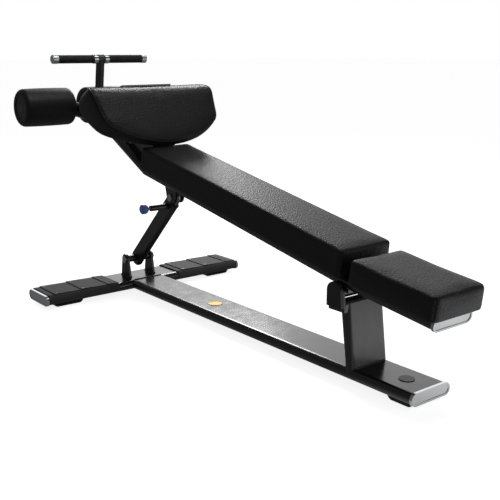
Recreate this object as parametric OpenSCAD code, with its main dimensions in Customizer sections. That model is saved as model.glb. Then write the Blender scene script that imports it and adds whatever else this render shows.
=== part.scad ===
// Adjustable sit-up and decline bench: a T-shaped base, a hinged board with three pads,
// foot rollers and a T-handle, and a telescopic strut with a pop-pin.
// Dimensions along X are taken from the crossbar's centre line. +X runs to the head end,
// -Y is the near side and Z = 0 is the floor. The last shift centres the bench on its box.

/* [Base] */
// Width of the flat-oval frame tube
tube_w = 136; // [130:1:137]
// Thickness of the flat-oval frame tube
tube_t = 30; // [28:1:31]
// Wall of the frame tube
tube_wall = 3; // [2.5:0.5:4]
// Length of the crossbar tube without its caps
crossbar_len = 764; // [750:1:800]
// Distance from the crossbar's centre line to the rail's far end
rail_end = 1312; // [1300:1:1340]
// Height of the rubber feet
foot_h = 13; // [10:0.5:16]
// Length of each moulded tread cover
tread_len = 258; // [250:1:262]

/* [Post and hinge] */
// Where the post's front face meets the rail
post_foot_x = 1122; // [1118:1:1126]
// Lean of the post towards the foot end, in degrees
post_lean = 7.6; // [6:0.1:9]
// Distance of the board hinge from the crossbar
hinge_x = 1068; // [1064:1:1070]
// Height of the board hinge
hinge_z = 233; // [231:0.5:234]

/* [Board] */
// Slope of the long part of the board, in degrees
board_slope = 10.55; // [10.45:0.1:10.65]
// Slope of the head part of the board, in degrees
head_slope = 7.45; // [7.05:0.1:7.95]
// Slope of the tube that rises under the thigh pad, in degrees
upper_slope = 27; // [26:0.5:28]
// Length of the long pad
long_pad_len = 937; // [920:1:940]
// Length of the head pad
head_pad_len = 273; // [262:1:275]
// Width of the back pads
pad_w = 188; // [180:1:200]
// Thickness of the long pad
long_pad_t = 75; // [70:1:76]
// Thickness of the head pad
head_pad_t = 64; // [58:1:66]

/* [Thigh pad and rollers] */
// Slope of the thigh pad's front face, in degrees
thigh_slope = 58.3; // [57:0.1:60]
// Radius of the thigh pad's rolled top
thigh_roll_r = 56; // [52:0.5:56]
// Radius of the foam rollers
roller_r = 69.5; // [65:0.5:70]
// Length of each foam roller
roller_len = 200; // [190:1:205]
// Half of the gap between the two rollers
roller_gap = 27; // [26:0.5:30]
// Half of the handle bar's length
handle_half = 187; // [180:1:195]

/* [Strut] */
// Width of the strut's outer tube
strut_w = 58; // [56:1:60]
// Thickness of the strut's outer tube
strut_t = 22; // [21.5:0.5:23]
// Length of the strut's outer tube from its lower pivot
strut_outer_len = 333; // [325:1:336]
// Strut travel from the lowest to the highest board position
strut_travel = 114.5; // [110:0.5:116]
// Number of height positions
positions = 5; // [3:1:6]

/* [Hidden] */
$fn = 64;
fit_gap = 0.05;          // radial gap of a running fit
skin_gap = 0.3;          // gap between parts that only lie close
tube_r = tube_t / 2;
tube_z = foot_h + tube_r;
tube_top = foot_h + tube_t;
cap_t = 8;
cap_lip = 2;

// Base fittings
tread_start = 121;
tread_lift = 3.3;
tread_step = 3;
tread_edges = [0, 21, 118, 217, tread_len];
tread_half = 58;
plug_x = 1243;
plug_r = 20;
badge_x = 455;
badge_r = 21;

// Post
post_blank = 230;
post_w = tube_w - 2;
post_top_x = 1099;
post_top_z = 211;
ear_in = 69.5;
ear_t = 6;
ear_r = 25;
hinge_bolt_r = 8;
barrel_r = 14;
barrel_half = 62;

// Board: bend_x, bend_z is where the two top planes of the beam meet
bend_x = 1100;
bend_z = 274.8;
beam_head_len = 267;
mitre = (board_slope + head_slope) / 2;
upper_mitre = (board_slope + upper_slope) / 2;
long_beam_len = 959.5;
upper_len = 310;
upper_x = bend_x - long_beam_len * cos(board_slope);
upper_z = bend_z + long_beam_len * sin(board_slope);
pad_gap = 17;
board_ply = 12;
board_margin = 8;
pad_corner = 11;
head_corner = 20;

// Thigh pad: roll centre, and local v down the face and n out of it
roll_x = 94;
roll_z = 650.5;
face_v = 172;
edge_v = 157;
edge_n = 38;
edge_r = 18;
shield_half = 93;
shield_t = 5;
shield_from = 100;
shield_to = 232;

// Foot arm, rollers and handle
axle_x = -427.5;
axle_z = 616;
axle_r = 10;
arm_h = 56;
arm_w = 30;
arm_z = 602;
arm_slope = 4.6;
core_r = 22;
cap_r = 49;
bar_x = -226;
bar_z = 790.5;
bar_r = 12.5;
post_x = -256;
post_r = 15;
grip_r = 14.3;
tee_half = 14;
collar_half = 29;

// Strut: s runs from the lower pivot up the strut
clevis_x = -12;
clevis_z = 103;
pin_x = 240;
pin_z = 355;
strut_angle = atan2(pin_z - clevis_z, pin_x - clevis_x);
strut_len = norm([pin_x - clevis_x, pin_z - clevis_z]);
strut_wall = 2.5;
clevis_in = 44;
clevis_t = 8;
clevis_bolt_r = 8;
inner_w = 50;
inner_t = 14;
inner_start = 40;
end_block_len = 30;
top_bolt_r = 7;
top_bore_r = 13;
bracket_in = 15;
bracket_t = 6;
pop_s = 308;
pop_r = 5;
pop_stroke = 12;
housing_r = 10;
housing_end = 76;
knob_r = 16;

// The bench's box, for the last shift
x_min = axle_x - roller_r;
x_max = bend_x + (pad_gap + head_pad_len) * cos(head_slope) + head_pad_t * sin(head_slope);
mid_x = (x_min + x_max) / 2;

// ---- Shared shapes ----

// Flat-oval outline, w wide and t thick
module oval(w, t) {
    square([w - t, t], center = true);
    for (s = [-1, 1]) translate([s * (w - t) / 2, 0]) circle(d = t);
}

module oval_ring(w, t, wall) {
    difference() {
        oval(w, t);
        oval(w - 2 * wall, t - 2 * wall);
    }
}

// Flat-oval bar along +X from the origin, w across Y and t high
module oval_bar(len, w, t) {
    rotate([90, 0, 90]) linear_extrude(len) oval(w, t);
}

module oval_tube(len, w, t, wall) {
    rotate([90, 0, 90]) linear_extrude(len) oval_ring(w, t, wall);
}

// Cylinder along Y, from y0 to y1
module rod_y(r, y0, y1) {
    translate([0, y0, 0]) rotate([-90, 0, 0]) cylinder(r = r, h = y1 - y0);
}

// Plate in the XZ plane, from y0 to y1
module plate_y(y0, y1) {
    translate([0, y1, 0]) rotate([90, 0, 0]) linear_extrude(y1 - y0) children();
}

// Hexagon nut or head along Y
module hex_y(flats, y0, y1) {
    translate([0, y0, 0]) rotate([-90, 0, 0]) cylinder(d = flats / cos(30), h = y1 - y0, $fn = 6);
}

module centred() { translate([-mid_x, 0, 0]) children(); }

module at_crossbar_end(side) {
    centred() translate([0, side * crossbar_len / 2, tube_z]) rotate([0, 0, side * 90]) children();
}

// Board frames: local X runs down the beam to the head, Z = 0 is the pad plane
module at_long() { centred() translate([bend_x, 0, bend_z]) rotate([0, board_slope, 0]) children(); }

module at_head() { centred() translate([bend_x, 0, bend_z]) rotate([0, head_slope, 0]) children(); }

module at_upper() { centred() translate([upper_x, 0, upper_z]) rotate([0, upper_slope, 0]) children(); }

module at_hinge() { centred() translate([hinge_x, 0, hinge_z]) children(); }

// Thigh frame: local X down the face, Z out of the face, Y across
module at_thigh() { centred() translate([roll_x, 0, roll_z]) rotate([0, thigh_slope, 0]) children(); }

module at_axle() { centred() translate([axle_x, 0, axle_z]) children(); }

module at_bar() { centred() translate([bar_x, 0, bar_z]) children(); }

module at_clevis() { centred() translate([clevis_x, 0, clevis_z]) children(); }

// Strut frame: local X up the strut from the lower pivot
module at_strut() { at_clevis() rotate([0, -strut_angle, 0]) children(); }

// Solid outlines used to cope one tube to another
module crossbar_solid() {
    centred() translate([0, crossbar_len / 2, tube_z]) rotate([0, 0, -90])
        oval_bar(crossbar_len, tube_w, tube_t);
}

module rail_solid() { centred() translate([0, 0, tube_z]) oval_bar(rail_end, tube_w, tube_t); }

module at_post() {
    centred() translate([post_foot_x, 0, tube_top]) rotate([0, -post_lean, 0])
        translate([-tube_r, 0, 0]) rotate([0, 0, 90]) children();
}

module post_solid() {
    at_post() translate([0, 0, -tube_r]) linear_extrude(post_blank) oval(post_w, tube_t);
}

// Everything above the sloping top of the post, lifted by z
module above_post(z) {
    centred() translate([post_top_x, 0, post_top_z + z]) rotate([0, board_slope, 0])
        translate([-150, -100, 0]) cube([300, 200, 80]);
}

// ---- Base ----

module base_rail() {
    color([0.06, 0.06, 0.065]) difference() {
        centred() translate([0, 0, tube_z]) oval_tube(rail_end, tube_w, tube_t, tube_wall);
        crossbar_solid();
        centred() translate([plug_x, 0, tube_z]) cylinder(r = plug_r - 4, h = tube_t);
    }
}

module base_crossbar() {
    color([0.06, 0.06, 0.065]) centred() translate([0, crossbar_len / 2, tube_z]) rotate([0, 0, -90])
        oval_tube(crossbar_len, tube_w, tube_t, tube_wall);
}

// End cap: a rimmed face outside and a plug inside the tube, along +X from the tube's end
module tube_cap(w, t, wall) {
    difference() {
        union() {
            oval_bar(cap_t, w + 2 * cap_lip, t + 2 * cap_lip);
            translate([-22, 0, 0]) oval_bar(22, w - 2 * wall - 0.4, t - 2 * wall - 0.4);
        }
        translate([cap_t - 1.6, 0, 0]) oval_bar(5, w - 6, t - 6);
        translate([-23, 0, 0]) oval_bar(20, w - 2 * wall - 6, t - 2 * wall - 6);
    }
}

module rail_end_cap() {
    color([0.82, 0.83, 0.84]) centred() translate([rail_end, 0, tube_z]) tube_cap(tube_w, tube_t, tube_wall);
}

module crossbar_end_cap(side) {
    color([0.7, 0.71, 0.72]) at_crossbar_end(side) tube_cap(tube_w, tube_t, tube_wall);
}

module crossbar_end_cap_left() { crossbar_end_cap(-1); }

module crossbar_end_cap_right() { crossbar_end_cap(1); }

// One tread: high at its near edge, sloping down to the far edge
module tread(y0, y1, rise) {
    translate([-tread_half, 0, 0]) rotate([90, 0, 90]) linear_extrude(2 * tread_half)
        polygon([[y0, tread_lift - 2], [y0, tread_lift + rise], [y1, tread_lift + 0.4], [y1, tread_lift - 2]]);
}

// Moulded cover over the top and sides of the crossbar; y0 is its near edge
module tread_cover(y0) {
    lift = tread_lift;
    color([0.2, 0.2, 0.21]) difference() {
        centred() translate([0, y0, 0]) {
            translate([0, tread_len, tube_z]) rotate([0, 0, -90]) difference() {
                oval_bar(tread_len, tube_w + 2 * lift, tube_t + 2 * lift);
                translate([-1, 0, 0]) oval_bar(tread_len + 2, tube_w + 2 * skin_gap, tube_t + 2 * skin_gap);
                translate([-1, -100, -60]) cube([tread_len + 2, 200, 60 - 9]);
            }
            translate([0, 0, tube_top]) {
                tread(tread_edges[0], tread_edges[1], 0.9);
                for (i = [1, 2]) tread(tread_edges[i], tread_edges[i + 1], tread_step);
                tread(tread_edges[3], tread_edges[3] + 24, tread_step);
                tread(tread_edges[3] + 18, tread_len, 1.6);
            }
        }
        centred() for (m = [0, 1], s = [-1, 1])
            translate([s * (tube_w / 2 + 8), y0 + m * tread_len, tube_z - 9]) rotate([45, 0, 0])
                cube([30, 14, 14], center = true);
        centred() for (i = [1, 2], s = [-1, 1])
            translate([s * 48, y0 + tread_edges[i] + 12, tube_top + 4]) cylinder(r = 5, h = 5);
    }
}

module tread_cover_left() { tread_cover(-tread_start - tread_len); }

module tread_cover_right() { tread_cover(tread_start); }

module tread_screws() {
    color([0.25, 0.25, 0.26]) centred()
        for (y0 = [-tread_start - tread_len, tread_start], i = [1, 2], s = [-1, 1])
            translate([s * 48, y0 + tread_edges[i] + 12, tube_top + 4]) difference() {
                cylinder(r = 4.4, h = 1.5);
                translate([0, 0, 0.6]) cylinder(r = 2, h = 3, $fn = 6);
            }
}

// Rubber foot with sloping ends, len along X
module rubber_foot(len, width) {
    taper = 12;
    edge = 3;
    plate_y(-width / 2, width / 2) polygon([
        [-len / 2, foot_h], [-len / 2 + taper - edge, edge], [-len / 2 + taper + edge, 0],
        [len / 2 - taper - edge, 0], [len / 2 - taper + edge, edge], [len / 2, foot_h]]);
}

module rubber_foot_left() {
    color([0.03, 0.03, 0.03]) centred() translate([0, -crossbar_len / 2 + 78, 0]) rotate([0, 0, 90])
        rubber_foot(112, 96);
}

module rubber_foot_right() {
    color([0.03, 0.03, 0.03]) centred() translate([0, crossbar_len / 2 - 78, 0]) rotate([0, 0, 90])
        rubber_foot(112, 96);
}

module rubber_foot_head() {
    color([0.03, 0.03, 0.03]) centred() translate([rail_end - 46, 0, 0]) rubber_foot(86, 100);
}

module upright_post() {
    color([0.06, 0.06, 0.065]) difference() {
        at_post() translate([0, 0, -tube_r]) linear_extrude(post_blank) oval_ring(post_w, tube_t, tube_wall);
        rail_solid();
        above_post(-3);
    }
}

module post_top_plate() {
    color([0.3, 0.3, 0.31]) difference() {
        post_solid();
        above_post(0);
        centred() translate([post_top_x, 0, post_top_z - 3]) rotate([0, board_slope, 0])
            translate([-150, -100, -300]) cube([300, 200, 300]);
    }
}

// Ear outline round the hinge, with a foot that reaches the post
module ear_outline() {
    hull() {
        circle(r = ear_r);
        translate([-ear_r, -44]) square([2 * ear_r + 6, 4]);
    }
}

module hinge_ear(side) {
    y0 = side > 0 ? ear_in : -ear_in - ear_t;
    w0 = side > 0 ? 56 : -ear_in;
    color([0.06, 0.06, 0.065]) difference() {
        union() {
            at_hinge() plate_y(y0, y0 + ear_t) ear_outline();
            at_hinge() plate_y(w0, w0 + ear_in - 56) translate([-10, -44]) square([40, 20]);
        }
        post_solid();
        at_hinge() rod_y(hinge_bolt_r, -100, 100);
    }
}

module hinge_ear_left() { hinge_ear(-1); }

module hinge_ear_right() { hinge_ear(1); }

// Moulded cover over the outside of an ear
module hinge_cover(side) {
    y0 = side > 0 ? ear_in + ear_t : -ear_in - ear_t - 11;
    color([0.16, 0.16, 0.17]) at_hinge() difference() {
        plate_y(y0, y0 + 11) hull() {
            translate([2, 9]) circle(r = ear_r - 1);
            translate([3 - ear_r, -32]) square([2 * ear_r + 2, 4]);
        }
        rod_y(15, y0 - (side > 0 ? 1 : -2.5), y0 + (side > 0 ? 8.5 : 12));
    }
}

module hinge_cover_left() { hinge_cover(-1); }

module hinge_cover_right() { hinge_cover(1); }

module hinge_bolt() {
    end = ear_in + ear_t;
    color([0.75, 0.76, 0.78]) at_hinge() {
        rod_y(hinge_bolt_r, -end, end);
        hex_y(24, -end - 8, -end);
        hex_y(24, end, end + 8);
    }
}

module clevis_ear(side) {
    y0 = side > 0 ? clevis_in : -clevis_in - clevis_t;
    color([0.08, 0.08, 0.085]) at_clevis() difference() {
        plate_y(y0, y0 + clevis_t) hull() {
            circle(r = 19);
            translate([-27, tube_top - clevis_z]) square([56, 4]);
        }
        rod_y(clevis_bolt_r, -80, 80);
    }
}

module clevis_ear_left() { clevis_ear(-1); }

module clevis_ear_right() { clevis_ear(1); }

module clevis_bolt() {
    end = clevis_in + clevis_t;
    color([0.6, 0.61, 0.63]) at_clevis() {
        rod_y(clevis_bolt_r, -end, end);
        rod_y(13, -end - 4, -end);
        hex_y(22, end, end + 8);
    }
}

module rail_plug() {
    color([0.1, 0.1, 0.1]) centred() translate([plug_x, 0, tube_top]) {
        cylinder(r = plug_r, h = 1.6);
        translate([0, 0, -tube_wall - 4]) difference() {
            cylinder(r = plug_r - 4.2, h = tube_wall + 4);
            translate([0, 0, -1]) cylinder(r = plug_r - 7, h = tube_wall + 4);
        }
    }
}

module rail_badge() {
    color([0.75, 0.58, 0.25]) centred() translate([badge_x, 0, tube_top]) difference() {
        cylinder(r = badge_r, h = 1.2);
        translate([0, 0, 0.8]) difference() {
            cylinder(r = badge_r - 1.5, h = 1);
            cylinder(r = badge_r - 5, h = 1);
        }
    }
}

// ---- Board ----

// Everything on one side of the mitre plane through a bend of the board
module mitre_cut(angle, side) {
    rotate([0, angle, 0]) translate([side > 0 ? 0 : -400, -150, -150]) cube([400, 300, 300]);
}

// Both parts of the beam, meeting at the mitre, with the outline drawn in by inset
module beam_solid(inset, over) {
    difference() {
        at_long() translate([-long_beam_len - 20, 0, -tube_r])
            oval_bar(long_beam_len + 40, tube_w - 2 * inset, tube_t - 2 * inset);
        centred() translate([bend_x, 0, bend_z]) mitre_cut(mitre, 1);
    }
    difference() {
        at_head() translate([-20, 0, -tube_r])
            oval_bar(beam_head_len + 20 + over, tube_w - 2 * inset, tube_t - 2 * inset);
        centred() translate([bend_x, 0, bend_z]) mitre_cut(mitre, -1);
    }
}

module main_beam() {
    color([0.06, 0.06, 0.065]) difference() {
        beam_solid(0, 0);
        beam_solid(tube_wall, 1);
        centred() translate([upper_x, 0, upper_z]) mitre_cut(upper_mitre, -1);
    }
}

module beam_end_cap() {
    color([0.82, 0.83, 0.84]) at_head() translate([beam_head_len, 0, -tube_r])
        tube_cap(tube_w, tube_t, tube_wall);
}

// Tube across the beam's underside, with the block that joins it to the beam
module hinge_barrel() {
    color([0.08, 0.08, 0.085]) difference() {
        union() {
            at_hinge() rod_y(barrel_r, -barrel_half, barrel_half);
            difference() {
                at_hinge() translate([-18, -50, 0]) cube([36, 100, 30]);
                at_long() translate([-200, -100, -tube_t]) cube([400, 200, 100]);
            }
        }
        at_hinge() rod_y(hinge_bolt_r + 3, -80, 80);
    }
}

module hinge_bushes() {
    color([0.7, 0.58, 0.3]) at_hinge() for (turn = [0, 180]) rotate([0, 0, turn]) difference() {
        union() {
            rod_y(hinge_bolt_r + 3, barrel_half - 30, barrel_half);
            rod_y(barrel_r, barrel_half, ear_in - skin_gap);
        }
        rod_y(hinge_bolt_r + fit_gap, 0, 80);
    }
}

// Rounded pad block along local X from x0 to x1, t high above z0
// Block with corners of radius r0 at its upper end and r1 at its lower end
module pad_block(x0, x1, w, t, r0, r1) {
    linear_extrude(t) hull() for (s = [-1, 1]) {
        translate([x0 + r0, s * (w / 2 - r0)]) circle(r = r0, $fn = 32);
        translate([x1 - r1, s * (w / 2 - r1)]) circle(r = r1, $fn = 32);
    }
}

module ply_board(x0, x1) {
    m = board_margin;
    translate([x0 + m, -pad_w / 2 + m, 0]) cube([x1 - x0 - 2 * m, pad_w - 2 * m, board_ply]);
}

// Upholstered block with a pocket underneath for its board
module cushion_block(x0, x1, t, r1) {
    difference() {
        pad_block(x0, x1, pad_w, t, pad_corner, r1);
        translate([x0 + board_margin - 0.3, -pad_w / 2 + board_margin - 0.3, -1])
            cube([x1 - x0 - 2 * board_margin + 0.6, pad_w - 2 * board_margin + 0.6, board_ply + 1.3]);
    }
}

long_x1 = -11.5;
long_x0 = long_x1 - long_pad_len;
head_x0 = pad_gap;
head_x1 = pad_gap + head_pad_len;

module long_pad_board() { color([0.55, 0.42, 0.28]) at_long() ply_board(long_x0, long_x1); }

module long_cushion() {
    color([0.07, 0.07, 0.075]) at_long() cushion_block(long_x0, long_x1, long_pad_t, pad_corner);
}

// The head board stops short of the lip of the beam's end cap
module head_pad_board() {
    color([0.55, 0.42, 0.28]) at_head() ply_board(head_x0, beam_head_len - 1 + board_margin);
}

module head_cushion() {
    color([0.07, 0.07, 0.075]) at_head() cushion_block(head_x0, head_x1, head_pad_t, head_corner);
}

module upper_tube() {
    color([0.06, 0.06, 0.065]) difference() {
        at_upper() translate([-upper_len, 0, -tube_r]) oval_tube(upper_len + 30, tube_w, tube_t, tube_wall);
        centred() translate([upper_x, 0, upper_z]) mitre_cut(upper_mitre, 1);
    }
}

module upper_end_plate() {
    color([0.08, 0.08, 0.085]) at_upper() translate([-upper_len - 5, 0, -tube_r]) oval_bar(5, tube_w, tube_t);
}

// ---- Thigh pad ----

// Side outline of the thigh pad in its own frame: X down the face, Y out of it
module thigh_side() {
    hull() {
        circle(r = thigh_roll_r);
        translate([edge_v, edge_n]) circle(r = edge_r);
    }
}

// Front outline of the thigh pad: straight top, sides drawing in, curved lower edge
module thigh_front() {
    arc_r = 345;
    corner = 45;
    hull() {
        for (s = [-1, 1]) translate([-32, s * 212]) circle(r = 24, $fn = 32);
        for (s = [-1, 1]) translate([71, s * 175]) circle(r = corner, $fn = 32);
        polygon([for (a = [-30 : 5 : 30]) [face_v - arc_r + arc_r * cos(a), arc_r * sin(a)]]);
    }
}

module thigh_cushion() {
    color([0.08, 0.08, 0.085]) at_thigh() intersection() {
        translate([0, 240, 0]) rotate([90, 0, 0]) linear_extrude(480) thigh_side();
        translate([0, 0, -80]) linear_extrude(160) thigh_front();
    }
}

// Angle between the pad's face and its back
back_angle = atan2(edge_n, edge_v) + asin((thigh_roll_r - edge_r) / norm([edge_v, edge_n]));

// Back frame: local X down the pad's back, Z = 0 on its surface, Z up into the pad
module at_thigh_back() {
    at_thigh() rotate([0, -back_angle, 0]) translate([0, 0, -thigh_roll_r - skin_gap]) children();
}

module thigh_pad_board() {
    color([0.55, 0.42, 0.28]) at_thigh_back() translate([12, -118, -board_ply]) cube([106, 236, board_ply]);
}

// Two plates from the upper tube to the pad's board
module thigh_brackets() {
    color([0.06, 0.06, 0.065]) difference() {
        centred() for (s = [-1, 1]) plate_y(s > 0 ? 34 : -42, s > 0 ? 42 : -34)
            polygon([[0, 470], [130, 430], [186, 528], [150, 575], [60, 620], [10, 560]]);
        at_upper() translate([-400, -100, -200]) cube([800, 200, 200]);
        at_thigh_back() translate([-200, -100, -board_ply]) cube([500, 200, 200]);
        at_long() translate([-long_beam_len + 5, -100, -60]) cube([200, 200, 60]);
        at_long() translate([long_x0 - 0.5, -100, -1]) cube([200, 200, 110]);
    }
}

// Curved steel shield round the back of the roll
module thigh_shield() {
    r0 = thigh_roll_r + 0.6;
    color([0.35, 0.36, 0.38]) centred() translate([roll_x, 0, roll_z])
        plate_y(-shield_half, shield_half) difference() {
            circle(r = r0 + shield_t);
            circle(r = r0);
            rotate(shield_from - 90) translate([0, -100]) square([200, 200]);
            rotate(shield_to + 90) translate([0, -100]) square([200, 200]);
        }
}

// ---- Foot arm, rollers and handle ----

module at_arm() { centred() translate([axle_x, 0, arm_z]) rotate([0, arm_slope, 0]) children(); }

// Bar or tube standing on edge: w across Y and h high, along +X from x0
module edge_bar(x0, len, w, h) {
    translate([x0, 0, 0]) rotate([90, 0, 90]) linear_extrude(len) rotate(90) oval(h, w);
}

module arm_solid(wall = 0) { at_arm() edge_bar(0, 330, arm_w - 2 * wall, arm_h - 2 * wall); }

module foot_arm() {
    color([0.06, 0.06, 0.065]) difference() {
        union() {
            difference() {
                arm_solid();
                difference() {
                    arm_solid(tube_wall);
                    at_arm() translate([-1, -50, -50]) cube([41, 100, 100]);
                }
            }
            at_arm() intersection() {
                rod_y(arm_h / 2, -arm_w / 2, arm_w / 2);
                translate([-50, -50, -50]) cube([50, 100, 100]);
            }
        }
        at_axle() rod_y(axle_r, -50, 50);
        at_upper() translate([-upper_len - 5, -100, -150]) cube([500, 200, 300]);
    }
}

module roller_axle() {
    end = roller_gap + roller_len;
    color([0.6, 0.61, 0.63]) at_axle() {
        rod_y(axle_r, -end + 6, end - 6);
        for (turn = [0, 180]) rotate([0, 0, turn]) {
            rod_y(core_r - 3, arm_w / 2, roller_gap - 2);
            rod_y(axle_r + 5, end - 6, end - 3);
        }
    }
}

// Plastic core with a bore and a dished flange at its outer end; y runs outwards
module roller_core(side) {
    color([0.12, 0.12, 0.13]) at_axle() rotate([0, 0, side > 0 ? 0 : 180]) {
        difference() {
            union() {
                rod_y(core_r, roller_gap, roller_gap + roller_len - 7);
                rod_y(cap_r, roller_gap + roller_len - 7, roller_gap + roller_len - 1);
            }
            rod_y(cap_r - 6, roller_gap + roller_len - 3.5, roller_gap + roller_len);
            rod_y(axle_r + fit_gap, 0, roller_gap + roller_len + 5);
            rod_y(axle_r + 5.4, roller_gap + roller_len - 6.3, roller_gap + roller_len + 5);
        }
    }
}

module roller_core_left() { roller_core(-1); }

module roller_core_right() { roller_core(1); }

// Foam sleeve with rounded ends
module foam_roller(side) {
    edge = 14;
    y0 = roller_gap;
    y1 = roller_gap + roller_len;
    color([0.05, 0.05, 0.055]) at_axle() rotate([side > 0 ? -90 : 90, 0, 0]) difference() {
        rotate_extrude() {
            translate([0, y0 + edge]) square([roller_r, roller_len - 2 * edge]);
            translate([0, y0]) square([roller_r - edge, roller_len]);
            for (y = [y0 + edge, y1 - edge]) translate([roller_r - edge, y]) circle(r = edge);
        }
        translate([0, 0, y0 - 1]) cylinder(r = core_r + 0.1, h = roller_len + 2);
        translate([0, 0, y1 - 7.2]) cylinder(r = cap_r + 0.3, h = 20);
    }
}

module foam_roller_left() { foam_roller(-1); }

module foam_roller_right() { foam_roller(1); }

post_tilt = atan2(bar_x - post_x, bar_z - arm_z);

module handle_post() {
    color([0.07, 0.07, 0.075]) difference() {
        centred() translate([post_x, 0, arm_z]) rotate([0, post_tilt, 0])
            difference() {
                cylinder(r = post_r, h = norm([bar_x - post_x, bar_z - arm_z]));
                translate([0, 0, -1]) cylinder(r = post_r - 2.5, h = 400);
            }
        arm_solid();
        at_bar() rod_y(bar_r + 3.5, -50, 50);
    }
}

module handle_bar() {
    color([0.12, 0.12, 0.13]) at_bar() difference() {
        rod_y(bar_r, -handle_half + 6, handle_half - 6);
        rod_y(bar_r - 2.5, -handle_half, handle_half);
    }
}

module handle_tee() {
    color([0.07, 0.07, 0.075]) at_bar() difference() {
        rod_y(bar_r + 3.5, -tee_half, tee_half);
        rod_y(bar_r, -50, 50);
    }
}

module handle_collars() {
    color([0.85, 0.86, 0.87]) at_bar() for (s = [-1, 1]) difference() {
        rod_y(grip_r + 1.6, s > 0 ? tee_half : -collar_half, s > 0 ? collar_half : -tee_half);
        rod_y(bar_r, -50, 50);
    }
}

module handle_end_caps() {
    color([0.85, 0.86, 0.87]) at_bar() for (s = [-1, 1]) rotate([0, 0, s > 0 ? 0 : 180]) difference() {
        union() {
            rod_y(grip_r + 0.8, handle_half - 20, handle_half - 2);
            rod_y(grip_r - 1.2, handle_half - 2, handle_half);
        }
        rod_y(bar_r, 0, handle_half - 6);
    }
}

module grip(side) {
    y0 = side > 0 ? collar_half : -handle_half + 20;
    color([0.06, 0.06, 0.06]) at_bar() difference() {
        rod_y(grip_r, y0, y0 + handle_half - 20 - collar_half);
        rod_y(bar_r, -300, 300);
    }
}

module grip_left() { grip(-1); }

module grip_right() { grip(1); }

// ---- Strut ----

module strut_bracket() {
    color([0.08, 0.08, 0.085]) difference() {
        centred() for (s = [-1, 1])
            plate_y(s > 0 ? bracket_in : -bracket_in - bracket_t, s > 0 ? bracket_in + bracket_t : -bracket_in)
                hull() {
                    translate([pin_x, pin_z]) circle(r = 20);
                    translate([pin_x - 34, pin_z + 58]) square([78, 4]);
                }
        at_long() translate([-long_beam_len, -100, -tube_t]) cube([400, 200, 200]);
        centred() translate([pin_x, 0, pin_z]) rod_y(top_bolt_r, -50, 50);
    }
}

module strut_top_bolt() {
    end = bracket_in + bracket_t;
    color([0.6, 0.61, 0.63]) centred() translate([pin_x, 0, pin_z]) {
        rod_y(top_bolt_r, -end, end);
        rod_y(12, -end - 4, -end);
        hex_y(20, end, end + 7);
    }
}

module strut_outer() {
    color([0.1, 0.1, 0.105]) difference() {
        at_strut() difference() {
            edge_bar(end_block_len, strut_outer_len - end_block_len, strut_t, strut_w);
            edge_bar(0, strut_outer_len + 1, strut_t - 2 * strut_wall, strut_w - 2 * strut_wall);
        }
        at_strut() translate([pop_s, 0, 0]) rod_y(pop_r + fit_gap, -50, 0);
    }
}

// Round end of a bar standing on edge, turned about Y
module round_end(h, w) {
    rotate([90, 0, 0]) rotate_extrude() {
        translate([0, -w / 2]) square([(h - w) / 2, w]);
        intersection() {
            translate([(h - w) / 2, 0]) circle(d = w);
            translate([0, -w]) square([h, 2 * w]);
        }
    }
}

// Round lower end of the strut, with the pivot tube that turns on the clevis bolt
module strut_end_block() {
    color([0.05, 0.05, 0.055]) at_strut() difference() {
        union() {
            edge_bar(0, end_block_len, strut_t, strut_w);
            round_end(strut_w, strut_t);
            rod_y(12, -clevis_in + skin_gap, clevis_in - skin_gap);
        }
        rod_y(clevis_bolt_r + fit_gap, -80, 80);
    }
}

// Guide collar at the top of the outer tube
module strut_collar() {
    color([0.13, 0.13, 0.14]) at_strut() difference() {
        union() {
            edge_bar(strut_outer_len, 5, strut_t + 2, strut_w + 2);
            edge_bar(strut_outer_len - 12, 12, strut_t - 2 * strut_wall, strut_w - 2 * strut_wall);
        }
        edge_bar(strut_outer_len - 30, 50, inner_t + 2 * skin_gap, inner_w + 2 * skin_gap);
    }
}

// Housing of the pop-pin, welded to the near face of the outer tube
module pin_housing() {
    color([0.1, 0.1, 0.105]) at_strut() translate([pop_s, 0, 0]) difference() {
        rod_y(housing_r, -housing_end, -strut_t / 2);
        rod_y(pop_r + fit_gap, -100, 0);
        rod_y(pop_r + 2.5, -housing_end + 6, -strut_t / 2 - 6);
    }
}

function hole_s(i) = pop_s - strut_travel * i / (positions - 1);

module strut_inner() {
    color([0.55, 0.56, 0.57]) at_strut() difference() {
        union() {
            edge_bar(inner_start, strut_len - inner_start, inner_t, inner_w);
            translate([strut_len, 0, 0]) round_end(inner_w, inner_t);
        }
        edge_bar(inner_start - 1, strut_len - inner_start - 30, inner_t - 4, inner_w - 4);
        translate([strut_len, 0, 0]) rod_y(top_bore_r, -50, 50);
        for (i = [0 : positions - 1]) translate([hole_s(i), 0, 0]) rod_y(pop_r + 0.4, -50, 0);
    }
}

// Plunger of the pop-pin, drawn out so that its nose is clear of the inner tube
module pin_plunger() {
    tip = -inner_t / 2 - 0.6;
    color([0.7, 0.71, 0.72]) at_strut() translate([pop_s, 0, 0]) {
        rod_y(pop_r, -housing_end - pop_stroke - 14, tip);
        rod_y(pop_r + 2, -40, -36);
    }
}

module pin_knob() {
    near = -housing_end - pop_stroke - 2;
    color([0.3, 0.42, 0.75]) at_strut() translate([pop_s, 0, 0]) difference() {
        union() {
            rod_y(knob_r - 3, near - 6, near);
            rod_y(knob_r, near - 17, near - 6);
            rod_y(knob_r - 3, near - 20, near - 17);
        }
        rod_y(pop_r, near - 12, near + 1);
    }
}

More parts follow.
